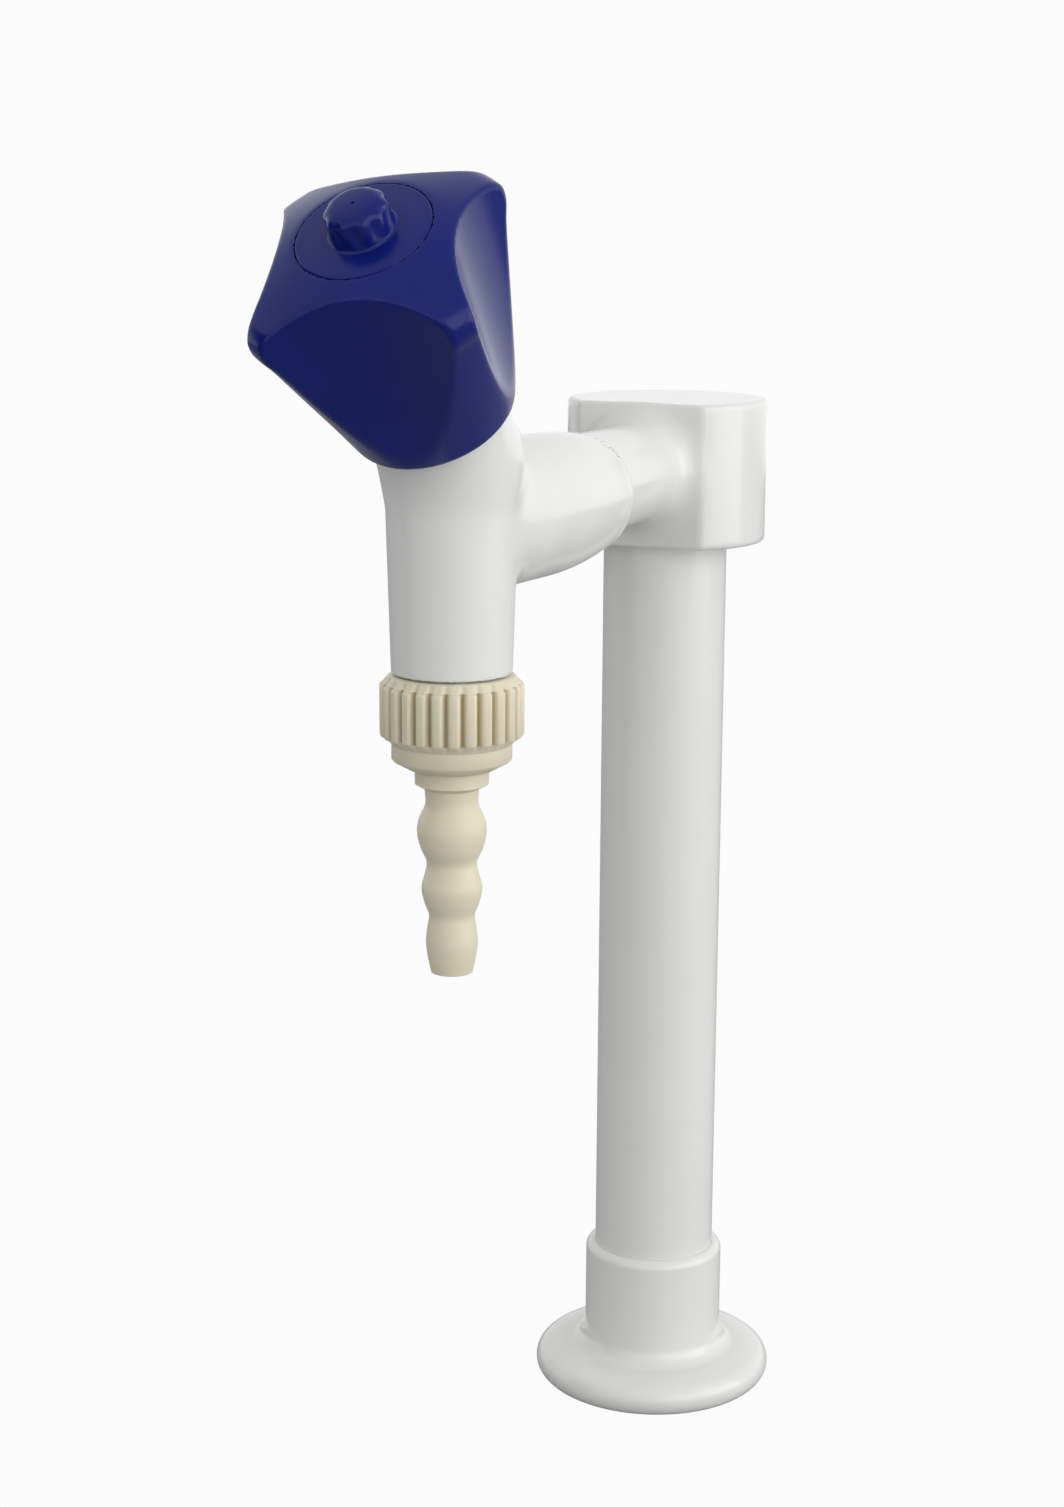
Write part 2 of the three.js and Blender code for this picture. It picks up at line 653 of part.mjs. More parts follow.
const nubOutline = new THREE.Shape();
for (let i = 0; i <= 4 * nubRibCount; i += 1) {
  const angle = (i * Math.PI) / (2 * nubRibCount);
  const radius = nubRadius - nubRibDepth * (1 - Math.abs(Math.cos(angle * nubRibCount / 2)));
  const point = [radius * Math.cos(angle), radius * Math.sin(angle)];
  if (i === 0) nubOutline.moveTo(...point);
  else if (i < 4 * nubRibCount) nubOutline.lineTo(...point);
}
nubOutline.closePath();
const nubEnvelope = turned([
  [0, capFoot],
  [nubRadius + cutOverrun, capFoot],
  [nubRadius, nubTop - nubCrownDrop],
  [nubCrownRadius, nubTop],
  [0, nubTop],
], bonnetPlace, smallSteps);
const indexCap = turned([
  [0, capPlugFoot],
  [capPlugRadius, capPlugFoot],
  [capPlugRadius, capFoot],
  [capRadius, capFoot],
  ...arc(capRadius - capEdgeRound, indexHeight - capEdgeRound, capEdgeRound, 0, 90, 2),
  [0, indexHeight],
], bonnetPlace)
  .add(pushed(nubOutline, capFoot, nubTop, bonnetPlace).intersect(nubEnvelope));
keep('index_cap', indexCap, finishes.blueKnob);

// Hose nozzle: a collar inside the nut, a visible flange and three swelling barbs
const nozzleGasketThickness = 1.9;
const nozzleCollarRadius = 9.7;
const nozzleCollarThickness = 2;
const nozzleFlangeRadius = 7.2;
const nozzleFlangeLength = 7.8;
const nozzleFlangeSlope = 1;
const nozzleNeckRadius = 5.3;
const nozzleTipRadius = 4.1;
const nozzleBore = 3;
const barbLength = 37;

// The barbs as radius and depth below the flange's slope
const barbCurve = [
  [nozzleNeckRadius, 3.6],
  [6.3, 5.7],
  [6.8, 8.3],
  [6.1, 11.9],
  [4.9, 14.9],
  [5.3, 17.1],
  [5.95, 19.9],
  [5.4, 22.9],
  [4.5, 25.4],
  [4.8, 27.9],
  [5.1, 30.8],
  [4.75, 33.9],
  [nozzleTipRadius, barbLength],
];

const nozzleCollarTop = spigotEnd - nozzleGasketThickness - 2 * seatedGap;
const nozzleCollarFoot = nozzleCollarTop - nozzleCollarThickness;
const nozzleFlangeFoot = nozzleCollarFoot - nozzleFlangeLength;
const nozzleNeckTop = nozzleFlangeFoot - nozzleFlangeSlope;
keep('hose_nozzle', turned([
  [nozzleBore, nozzleCollarTop],
  [nozzleCollarRadius, nozzleCollarTop],
  [nozzleCollarRadius, nozzleCollarFoot],
  [nozzleFlangeRadius, nozzleCollarFoot],
  [nozzleFlangeRadius, nozzleFlangeFoot],
  [nozzleNeckRadius, nozzleNeckTop],
  ...smooth(barbCurve.map(([radius, depth]) => [radius, nozzleNeckTop - depth]), barbSteps),
  [nozzleBore, nozzleNeckTop - barbLength],
  [nozzleBore, nozzleCollarTop],
], outletPlace, smallSteps), finishes.creamPlastic);
keep('nozzle_gasket', ring(nozzleBore + looseGap, nozzleCollarRadius - sealInset,
  nozzleCollarTop + seatedGap, spigotEnd - seatedGap, outletPlace, smallSteps), finishes.blackRubber);

// Union nut: a ribbed barrel over a plain ring, its lip holding the nozzle's collar
const nutRadius = 14;
const nutChamferRadius = 11.9;
const nutChamferHeight = 1.6;
const nutBarrelHeight = 11.8;
const nutStepHeight = 1.7;
const nutRingRadius = 11.7;
const nutRingHeight = 3.1;
const nutFootRadius = 8.5;
const nutFootHeight = 1.8;
const nutRibCount = 26;
const nutRibDepth = 0.9;
const nutGrooveShare = 0.36;
const nutThreadRadius = spigotRadius + looseGap;
const nutLipTop = nozzleCollarFoot - seatedGap;
const nutRibFoot = nutTop - nutBarrelHeight;
const nutRingTop = nutRibFoot - nutStepHeight;
const nutRingFoot = nutRingTop - nutRingHeight;
const nutFoot = nutRingFoot - nutFootHeight;

const nutOutline = [];
const ribAngle = (2 * Math.PI) / nutRibCount;
for (let i = 0; i < nutRibCount; i += 1) {
  const start = i * ribAngle;
  const grooveStart = start + ribAngle * (1 - nutGrooveShare);
  for (const [angle, radius] of [
    [start, nutRadius],
    [(start + grooveStart) / 2, nutRadius],
    [grooveStart, nutRadius],
    [start + ribAngle * (1 - nutGrooveShare / 2), nutRadius - nutRibDepth],
  ]) {
    nutOutline.push(new THREE.Vector2(radius * Math.cos(angle), radius * Math.sin(angle)));
  }
}
const nutEnvelope = turned([
  [0, nutFoot],
  [nutFootRadius, nutFoot],
  [nutRingRadius, nutRingFoot],
  [nutRingRadius, nutRingTop],
  [nutRadius, nutRibFoot],
  [nutRadius, nutTop - nutChamferHeight],
  [nutChamferRadius, nutTop],
  [0, nutTop],
], outletPlace, fineSteps);
const unionNut = pushed(new THREE.Shape(nutOutline), nutFoot - cutOverrun, nutTop + cutOverrun, outletPlace)
  .intersect(nutEnvelope)
  .subtract(bar(nutThreadRadius, nutLipTop, nutTop + cutOverrun, outletPlace))
  .subtract(bar(nozzleFlangeRadius + looseGap, nutFoot - cutOverrun, nutTop, outletPlace));
keep('union_nut', unionNut, finishes.creamPlastic);

export default part;
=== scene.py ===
"""A bench-mounted laboratory water tap on a plain floor, in soft studio light.
Metres. The origin is the middle of the foot's underside, Z is up, the arm points to -Y."""

import math

import bmesh
import bpy
import numpy as np
from mathutils import Matrix, Vector


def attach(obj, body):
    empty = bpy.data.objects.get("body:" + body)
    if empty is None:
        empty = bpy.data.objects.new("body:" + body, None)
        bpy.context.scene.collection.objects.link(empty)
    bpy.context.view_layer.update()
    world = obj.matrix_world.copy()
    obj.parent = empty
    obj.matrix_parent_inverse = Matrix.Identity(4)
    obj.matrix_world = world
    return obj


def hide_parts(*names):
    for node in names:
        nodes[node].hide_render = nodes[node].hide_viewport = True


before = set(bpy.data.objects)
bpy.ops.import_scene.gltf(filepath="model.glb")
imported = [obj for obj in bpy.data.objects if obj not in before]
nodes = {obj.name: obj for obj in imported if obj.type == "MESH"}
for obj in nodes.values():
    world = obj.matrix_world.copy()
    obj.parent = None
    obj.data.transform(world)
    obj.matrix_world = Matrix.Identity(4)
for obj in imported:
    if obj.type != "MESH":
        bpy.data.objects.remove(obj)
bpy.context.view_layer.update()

# Foot flange
# One brass casting, turned on its rim and collar and coated in glossy white epoxy. The coat
# is thick and wet-looking, and very slightly wavy where it flowed before it set.
MM = 0.001
FLANGE_RADIUS = 28 * MM
FLANGE_RIM_ROUND = 3.7 * MM
FLANGE_CROWN = 0.8 * MM
FLANGE_SLOPE_RUN = 3 * MM
FLANGE_SLOPE_DROP = 0.25 * MM
FLANGE_TOP = 2 * FLANGE_RIM_ROUND + FLANGE_CROWN
COLLAR_RADIUS = 16.2 * MM
COLLAR_TOP = 34 * MM
COLLAR_FILLET = 4 * MM
COLLAR_SHOULDER = 2 * MM
COLUMN_RADIUS = 14 * MM
COLUMN_SEAT = 13 * MM
SEATED_GAP = 0.05 * MM
BUSH_RADIUS = 12 * MM
BUSH_FLANGE_RADIUS = 13.6 * MM
BUSH_FLANGE_TOP = 1.6 * MM
GROOVE_INNER = 19.5 * MM
GROOVE_OUTER = 24 * MM
GROOVE_TOP = 1.6 * MM
TURNED_STEPS = 144
SHARP_ANGLE = math.radians(40)
WELD_DISTANCE = 0.001 * MM
COLLAPSE_DISTANCE = 0.0005 * MM

ENAMEL = (0.78, 0.79, 0.77, 1)
ENAMEL_THIN = (0.74, 0.75, 0.73, 1)
ENAMEL_PATCH = 18 * MM
ENAMEL_ROUGHNESS = (0.16, 0.26)
ENAMEL_ROUGHNESS_PATCH = 6 * MM
ENAMEL_WAVE = (9 * MM, 0.05 * MM, 2)
ENAMEL_GRAIN = (1.6 * MM, 0.006 * MM, 3)
ENAMEL_COAT = 0.25
ENAMEL_COAT_ROUGHNESS = 0.04


def set_inputs(node, inputs):
    """Gives each named input of a shader node a plain value, or a link from a socket."""
    for key, value in inputs.items():
        if isinstance(value, bpy.types.NodeSocket):
            node.id_data.links.new(value, node.inputs[key])
        else:
            node.inputs[key].default_value = value


def adder(tree):
    """A function that adds a node with its settings and inputs to a node tree."""

    def add(kind, inputs=None, **settings):
        node = tree.nodes.new(kind)
        for key, value in settings.items():
            setattr(node, key, value)
        set_inputs(node, inputs or {})
        return node

    return add


def new_material(name):
    """A node material, its principled shader and a function that adds a node to it."""
    material = bpy.data.materials.new(name)
    material.use_nodes = True
    tree = material.node_tree
    return material, tree.nodes["Principled BSDF"], adder(tree)


def object_place(add):
    """Coordinates that stay with the object when it moves."""
    return add("ShaderNodeTexCoord").outputs["Object"]


def noise(add, place, size, detail=2.0):
    """Noise from 0 to 1 whose blobs measure about the given size in metres."""
    inputs = {"Vector": place, "Scale": 1 / size, "Detail": detail}
    return add("ShaderNodeTexNoise", inputs).outputs["Fac"]


def mixed(add, factor, first, second):
    """A colour between two, by a factor. The mix node's colour sockets have numbers."""
    return add("ShaderNodeMix", {0: factor, 6: first, 7: second}, data_type="RGBA").outputs[2]


def spread(add, value, low, high):
    """A value from 0 to 1 spread over another range."""
    return add("ShaderNodeMapRange", {"Value": value, "To Min": low, "To Max": high}).outputs[0]


def math_node(add, operation, first, second):
    """One arithmetic step on two values."""
    return add("ShaderNodeMath", {0: first, 1: second}, operation=operation).outputs[0]


def patchy_material(name, colours, patch, roughness, roughness_patch, bumps, detail=2.0, more=None):
    """A material that drifts between two colours over patches of one size, and between two
    roughnesses over patches of another. Each bump has a size, a depth and a detail, and more
    holds the shader's other inputs."""
    material, shader, add = new_material(name)
    place = object_place(add)
    set_inputs(shader, {
        "Base Color": mixed(add, noise(add, place, patch, detail), *colours),
        "Roughness": spread(add, noise(add, place, roughness_patch), *roughness),
    })
    normal = None
    for size, depth, bump_detail in bumps:
        inputs = {"Height": noise(add, place, size, bump_detail), "Distance": depth, "Strength": 1.0}
        if normal:
            inputs["Normal"] = normal
        normal = add("ShaderNodeBump", inputs).outputs["Normal"]
    set_inputs(shader, {"Normal": normal, "Coat Normal": normal, **(more or {})})
    return material


ENAMEL_MATERIAL = patchy_material(
    "white_enamel", (ENAMEL, ENAMEL_THIN), ENAMEL_PATCH,
    ENAMEL_ROUGHNESS, ENAMEL_ROUGHNESS_PATCH, [ENAMEL_WAVE, ENAMEL_GRAIN],
    more={"Coat Weight": ENAMEL_COAT, "Coat Roughness": ENAMEL_COAT_ROUGHNESS})


def linked_object(name, mesh, material):
    """An object in the scene that shows a mesh in one material."""
    mesh.materials.append(material)
    obj = bpy.data.objects.new(name, mesh)
    bpy.context.scene.collection.objects.link(obj)
    return obj


def mesh_object(name, points, faces, material):
    """A closed smooth-shaded body that faces outward and stays crisp at sharp edges."""
    mesh = bpy.data.meshes.new(name)
    mesh.from_pydata([tuple(p) for p in points], [], [tuple(f) for f in faces])
    shape = bmesh.new()
    shape.from_mesh(mesh)
    bmesh.ops.remove_doubles(shape, verts=shape.verts, dist=WELD_DISTANCE)
    bmesh.ops.dissolve_degenerate(shape, edges=shape.edges, dist=COLLAPSE_DISTANCE)
    bmesh.ops.recalc_face_normals(shape, faces=shape.faces)
    shape.to_mesh(mesh)
    shape.free()
    mesh.shade_smooth()
    mesh.set_sharp_from_angle(angle=SHARP_ANGLE)
    return linked_object(name, mesh, material)


def arc(centre_radius, centre_height, radius, first, last, steps):
    """Points of an arc in a turned profile, from one angle to the other in degrees."""
    points = []
    for i in range(steps + 1):
        angle = math.radians(first + (last - first) * i / steps)
        points.append((centre_radius + radius * math.cos(angle), centre_height + radius * math.sin(angle)))
    return points


def turned(name, profile, material, place=Matrix.Identity(4), steps=TURNED_STEPS, groove=None):
    """A body turned about Z from a closed run of (radius, height) points, then put in its
    place. A third number on a point is how deep the groove function may cut there."""
    count = len(profile)
    points = []
    for i in range(steps):
        angle = 2 * math.pi * i / steps
        for radius, height, *depth in profile:
            r = radius - (depth[0] * groove(angle) if depth else 0)
            points.append(place @ Vector((r * math.cos(angle), r * math.sin(angle), height)))
    faces = []
    for i in range(steps):
        near = i * count
        far = (i + 1) % steps * count
        for j in range(count):
            after = (j + 1) % count
            faces.append((near + j, far + j, far + after, near + after))
    return mesh_object(name, points, faces, material)


flange = turned("flange_skin", [
    (BUSH_FLANGE_RADIUS + SEATED_GAP, 0),
    (GROOVE_INNER - SEATED_GAP, 0),
    (GROOVE_INNER - SEATED_GAP, GROOVE_TOP + SEATED_GAP),
    (GROOVE_OUTER + SEATED_GAP, GROOVE_TOP + SEATED_GAP),
    (GROOVE_OUTER + SEATED_GAP, 0),
    *arc(FLANGE_RADIUS - FLANGE_RIM_ROUND, FLANGE_RIM_ROUND, FLANGE_RIM_ROUND, -90, 80, 24),
    (COLLAR_RADIUS + COLLAR_FILLET + FLANGE_SLOPE_RUN, FLANGE_TOP - FLANGE_SLOPE_DROP),
    *arc(COLLAR_RADIUS + COLLAR_FILLET, FLANGE_TOP + COLLAR_FILLET, COLLAR_FILLET, -90, -180, 16),
    *arc(COLLAR_RADIUS - COLLAR_SHOULDER, COLLAR_TOP - COLLAR_SHOULDER, COLLAR_SHOULDER, 0, 90, 12),
    (COLUMN_RADIUS + SEATED_GAP, COLLAR_TOP),
    (COLUMN_RADIUS + SEATED_GAP, COLUMN_SEAT),
    (BUSH_RADIUS + SEATED_GAP, COLUMN_SEAT),
    (BUSH_RADIUS + SEATED_GAP, BUSH_FLANGE_TOP + SEATED_GAP),
    (BUSH_FLANGE_RADIUS + SEATED_GAP, BUSH_FLANGE_TOP + SEATED_GAP),
], ENAMEL_MATERIAL)
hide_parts("base_flange")
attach(flange, "stand")

# Column
# A drawn brass tube in the same white epoxy, plain and straight from collar to head. It
# stands on a seal inside the collar and ends inside the head's socket.
COLUMN_BORE = 12.2 * MM
COLUMN_FOOT = 14.6 * MM
COLUMN_TOP = 211.4 * MM
column = turned("column_skin", [
    (COLUMN_BORE, COLUMN_FOOT),
    (COLUMN_RADIUS, COLUMN_FOOT),
    (COLUMN_RADIUS, COLUMN_TOP),
    (COLUMN_BORE, COLUMN_TOP),
], ENAMEL_MATERIAL)
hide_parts("column_tube")
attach(column, "stand")

# Head with its arm
# One sand casting: a D-shaped block with softly broken edges, and a tapered arm that grows
# out of its flat face with a small flared fillet. Bored from below for the column.
HEAD_BOTTOM = 204 * MM
HEAD_TOP = 236 * MM
HEAD_RADIUS = 22.5 * MM
HEAD_FLAT = 16.8 * MM
HEAD_EDGE = 1.1 * MM
HEAD_CORNER = 0.7 * MM
HEAD_SOCKET_TOP = 213 * MM
HEAD_CORE_RADIUS = 10 * MM
HEAD_CORE_TOP = 228 * MM
ARM_HEIGHT = 221 * MM
ARM_RADIUS = 10.6 * MM
ARM_END_RADIUS = 11.1 * MM
ARM_SHOULDER = 62 * MM
ARM_END = 76 * MM
ARM_SPIGOT_RADIUS = 9.4 * MM
ARM_BORE = 6.5 * MM
ARM_FLARE = 3.2 * MM
CAST_CELL = 0.6 * MM
SKIN_MARGIN = 2 * MM
SKIN_SLIDES = 6
LEAST_SLOPE = 0.05


def join(a, b, blend):
    """The union of two distance fields, with a fillet of about the blend's size."""
    h = np.clip(0.5 + 0.5 * (b - a) / blend, 0, 1)
    return b * (1 - h) + a * h - blend * h * (1 - h)


def common(a, b, blend):
    """What two distance fields share, with a rounded edge of about the blend's size."""
    return -join(-a, -b, blend)


def rounded_bar(r, h, radius, low, high, edge):
    """Distance to a round bar along h with rounded ends."""
    out = r - (radius - edge)
    along = np.abs(h - (low + high) / 2) - (high - low) / 2 + edge
    outside = np.hypot(np.maximum(out, 0), np.maximum(along, 0))
    return outside + np.minimum(np.maximum(out, along), 0) - edge


def skin(field, low, high, cell):
    """Points and quads where a field is zero: one point in each cell that the surface
    crosses, slid onto the surface, and one quad round each crossed grid edge."""
    grid = np.meshgrid(*[np.arange(a, b + cell, cell) for a, b in zip(low, high)], indexing="ij")
    inside = field(*grid) < 0
    rows, columns, layers = [n - 1 for n in inside.shape]
    corners = np.zeros((rows, columns, layers), int)
    for i, j, k in np.ndindex(2, 2, 2):
        corners += inside[i:i + rows, j:j + columns, k:k + layers]
    crossed = (corners > 0) & (corners < 8)
    number = np.full(crossed.shape, -1)
    number[crossed] = np.arange(crossed.sum())
    points = np.array(low) + (np.argwhere(crossed) + 0.5) * cell
    step = cell / 20
    for _ in range(SKIN_SLIDES):
        value = field(*points.T)
        slope = np.stack([
            field(*(points + step * unit).T) - field(*(points - step * unit).T) for unit in np.eye(3)
        ], axis=1) / (2 * step)
        steepness = np.maximum((slope ** 2).sum(axis=1), LEAST_SLOPE)
        move = -value[:, None] * slope / steepness[:, None]
        points = points + np.clip(move, -cell / 2, cell / 2)
    faces = []
    for axis in range(3):
        here = np.moveaxis(inside, axis, 0)
        cell_number = np.moveaxis(number, axis, 0)
        i, j, k = np.argwhere(here[:-1] != here[1:]).T
        keep = (j > 0) & (k > 0) & (j < cell_number.shape[1]) & (k < cell_number.shape[2])
        i, j, k = i[keep], j[keep], k[keep]
        faces.append(np.stack([
            cell_number[i, j - 1, k - 1],
            cell_number[i, j, k - 1],
            cell_number[i, j, k],
            cell_number[i, j - 1, k],
        ], axis=1))
    return points, np.concatenate(faces)


def head_field(x, y, z):
    """Distance to the head's metal: block, arm and spigot, less the hollows for column and water."""
    r = np.hypot(x, y)
    block = rounded_bar(r, z, HEAD_RADIUS, HEAD_BOTTOM, HEAD_TOP, HEAD_EDGE)
    block = common(block, -y - HEAD_FLAT, HEAD_CORNER)
    from_arm = np.hypot(x, z - ARM_HEIGHT)
    arm_radius = np.interp(-y, [0, ARM_SHOULDER], [ARM_RADIUS, ARM_END_RADIUS])
    arm = np.maximum(from_arm - arm_radius, np.maximum(-y - ARM_SHOULDER, y))
    body = join(block, arm, 2 * ARM_FLARE)
    spigot = np.maximum(from_arm - ARM_SPIGOT_RADIUS, np.maximum(-y - ARM_END, y))
    body = np.minimum(body, spigot)
    socket = np.maximum(r - COLUMN_RADIUS - SEATED_GAP, z - HEAD_SOCKET_TOP)
    core = np.maximum(r - HEAD_CORE_RADIUS, z - HEAD_CORE_TOP)
    bore = np.maximum(from_arm - ARM_BORE, y)
    return np.maximum(body, -np.minimum(np.minimum(socket, core), bore))


head_points, head_faces = skin(
    head_field,
    (-HEAD_RADIUS - SKIN_MARGIN, -ARM_END - SKIN_MARGIN, HEAD_BOTTOM - SKIN_MARGIN),
    (HEAD_RADIUS + SKIN_MARGIN, HEAD_RADIUS + SKIN_MARGIN, HEAD_TOP + SKIN_MARGIN), CAST_CELL)
head = mesh_object("head_skin", head_points, head_faces, ENAMEL_MATERIAL)
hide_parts("column_head")
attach(head, "stand")

# Valve body
# A second casting, in a Y: a rounded socket over the arm's end, a slightly tapered outlet
# tube and the boss that takes the headwork. The three run into each other in soft fillets.
OUTLET_Y = -112.1 * MM
CROSS_HEIGHT = 232.5 * MM
BONNET_TILT = math.radians(39.4)
SOCKET_DROP = 1.4 * MM
SOCKET_MOUTH = 50 * MM
SOCKET_EDGE = 1.2 * MM
SOCKET_CURVE_ALONG = np.array([50, 51.2, 55, 61, 69, 84, 97, 107, 112.1]) * MM
SOCKET_CURVE_RADIUS = np.array([11.9, 12.6, 13.2, 13.9, 14.4, 14.2, 13.4, 10.5, 7]) * MM
SOCKET_DEPTH_END = 77.6 * MM
OUTLET_LOW_RADIUS = 11.7 * MM
OUTLET_TOP_RADIUS = 12.9 * MM
OUTLET_SHOULDER = 191.75 * MM
OUTLET_EDGE = 0.6 * MM
SPIGOT_RADIUS = 9.9 * MM
SPIGOT_END = 181.7 * MM
OUTLET_BORE_TOP = 212 * MM
BONNET_RADIUS = 13 * MM
BONNET_ROOT_RADIUS = 13.4 * MM
BONNET_END = 29 * MM
BONNET_EDGE = 0.8 * MM
CHAMBER_RADIUS = 9.5 * MM
CHAMBER_FLOOR = 4 * MM
SEAT_RADIUS = 6.05 * MM
SEAT_FLOOR = 1 * MM
CAST_BLEND = 3 * MM
LOOSE_GAP = 0.3 * MM
BODY_BOX_HALF_WIDTH = 16 * MM
BODY_BOX_FRONT = -145 * MM
BODY_BOX_TOP = 266 * MM
BONNET_PLACE = Matrix.Translation((0, OUTLET_Y, CROSS_HEIGHT)) @ Matrix.Rotation(BONNET_TILT, 4, "X")


def smooth_table(along, values, at):
    """Values on a smooth curve through the given ones, by cubic pieces."""
    slopes = np.gradient(values, along)
    i = np.clip(np.searchsorted(along, at) - 1, 0, len(along) - 2)
    width = along[i + 1] - along[i]
    t = np.clip((at - along[i]) / width, 0, 1)
    start = (2 * t ** 3 - 3 * t ** 2 + 1) * values[i] + (t ** 3 - 2 * t ** 2 + t) * width * slopes[i]
    return (start + (3 * t ** 2 - 2 * t ** 3) * values[i + 1]
            + (t ** 3 - t ** 2) * width * slopes[i + 1])


def socket_field(x, y, z):
    """The rounded socket that grips the arm's end, up to the outlet's axis."""
    from_socket = np.hypot(x, z - ARM_HEIGHT + SOCKET_DROP)
    wall = smooth_table(SOCKET_CURVE_ALONG, SOCKET_CURVE_RADIUS, -y)
    socket = common(from_socket - wall, y + SOCKET_MOUTH, SOCKET_EDGE)
    return np.maximum(socket, OUTLET_Y - y)


def outlet_field(from_outlet, z):
    """The tapered outlet tube, closed by a ball where the three arms of the Y cross."""
    width = np.interp(z, [OUTLET_SHOULDER, CROSS_HEIGHT], [OUTLET_LOW_RADIUS, OUTLET_TOP_RADIUS])
    tube = common(from_outlet - width, OUTLET_SHOULDER - z, OUTLET_EDGE)
    cap = np.sqrt(from_outlet ** 2 + (z - CROSS_HEIGHT) ** 2) - OUTLET_TOP_RADIUS
    return np.where(z > CROSS_HEIGHT, cap, tube)


def boss_field(from_cross, from_bonnet, along):
    """The leaning boss, with a ball at its root."""
    wall = np.interp(along, [0, BONNET_END], [BONNET_ROOT_RADIUS, BONNET_RADIUS])
    boss = common(from_bonnet - wall, along - BONNET_END, BONNET_EDGE)
    return np.where(along < 0, from_cross - BONNET_ROOT_RADIUS, boss)


def body_field(x, y, z):
    """Distance to the body's metal: the three arms and the spigot, less what is bored out."""
    out = y - OUTLET_Y
    up = z - CROSS_HEIGHT
    along = -math.sin(BONNET_TILT) * out + math.cos(BONNET_TILT) * up
    from_bonnet = np.sqrt(np.maximum(x * x + out * out + up * up - along * along, 0))
    from_cross = np.sqrt(x * x + out * out + up * up)
    from_outlet = np.hypot(x, out)
    arms = join(outlet_field(from_outlet, z), boss_field(from_cross, from_bonnet, along), CAST_BLEND)
    body = join(arms, socket_field(x, y, z), 2 * CAST_BLEND)
    spigot = np.maximum(from_outlet - SPIGOT_RADIUS, np.maximum(SPIGOT_END - z, z - CROSS_HEIGHT))
    body = np.minimum(body, spigot)
    from_arm = np.hypot(x, z - ARM_HEIGHT)
    mouth = np.maximum(from_arm - ARM_END_RADIUS - LOOSE_GAP, -y - ARM_SHOULDER - LOOSE_GAP)
    seat = np.maximum(from_arm - ARM_SPIGOT_RADIUS - LOOSE_GAP, -y - SOCKET_DEPTH_END)
    bore = np.maximum(from_outlet - ARM_BORE, z - OUTLET_BORE_TOP)
    chamber = np.maximum(from_bonnet - CHAMBER_RADIUS, CHAMBER_FLOOR - along)
    seat_hole = np.maximum(from_bonnet - SEAT_RADIUS, SEAT_FLOOR - along)
    hollow = np.minimum.reduce([mouth, seat, bore, chamber, seat_hole])
    return np.maximum(body, -hollow)


body_points, body_faces = skin(
    body_field,
    (-BODY_BOX_HALF_WIDTH, BODY_BOX_FRONT, SPIGOT_END - SKIN_MARGIN),
    (BODY_BOX_HALF_WIDTH, -SOCKET_MOUTH + SKIN_MARGIN, BODY_BOX_TOP), CAST_CELL)
body = mesh_object("body_skin", body_points, body_faces, ENAMEL_MATERIAL)
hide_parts("valve_body")
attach(body, "stand")

# Knob
# A hollow injection moulding in royal-blue glossy plastic with four finger scoops. Its
# skin has a faint moulding texture and picks up broad soft reflections.
KNOB_BLUE = (0.003, 0.012, 0.17, 1)
KNOB_BLUE_DEEP = (0.002, 0.009, 0.13, 1)
KNOB_PATCH = 12 * MM
KNOB_ROUGHNESS = (0.16, 0.24)
KNOB_ROUGHNESS_PATCH = 4 * MM
KNOB_WAVE = (14 * MM, 0.05 * MM, 2)
KNOB_GRAIN = (0.7 * MM, 0.004 * MM, 3)
KNOB_SPECULAR = 0.25
KNOB_MATERIAL = patchy_material(
    "blue_knob", (KNOB_BLUE, KNOB_BLUE_DEEP), KNOB_PATCH,
    KNOB_ROUGHNESS, KNOB_ROUGHNESS_PATCH, [KNOB_WAVE, KNOB_GRAIN],
    more={"Specular IOR Level": KNOB_SPECULAR})

# The body is a turned shape, broad just below its crown and narrow at its rim, and each scoop
# takes off what lies beyond a hollow surface beside the axis. Heights are along the axis.
KNOB_RIM = 13 * MM
INDEX_HEIGHT = 56 * MM
KNOB_DEPTHS = np.array([0.2, 1.5, 3, 4.9, 7.5, 9.6, 14, 24, 34, 43]) * MM
KNOB_RADII = np.array([13.4, 16.9, 20.6, 24.6, 27, 27.2, 25.6, 22.2, 18.8, 15.9]) * MM
KNOB_CROWN = 0.2 * MM
KNOB_EDGE = 0.7 * MM
SCOOP_COUNT = 4
SCOOP_DISTANCE = 16.7 * MM
SCOOP_HOLLOW = 36 * MM
FIRST_SCOOP_DEGREES = -79
SCOOP_EDGE = 1.1 * MM
CAVITY_RADIUS = 14.2 * MM
CAVITY_ROOF = 45 * MM
HUB_RADIUS = 6.4 * MM
HUB_FOOT = 42.7 * MM
SPLINE_RADIUS = 3.9 * MM
SPLINE_HOLE_TOP = 48.9 * MM
KNOB_SCREW_HOLE = 2.2 * MM
RECESS_RADIUS = 12.7 * MM
RECESS_FLOOR = 54.3 * MM
WELL_RADIUS = 4.2 * MM
WELL_FLOOR = 50 * MM
KNOB_BOX_HALF_WIDTH = 29 * MM
KNOB_CELL = 0.5 * MM


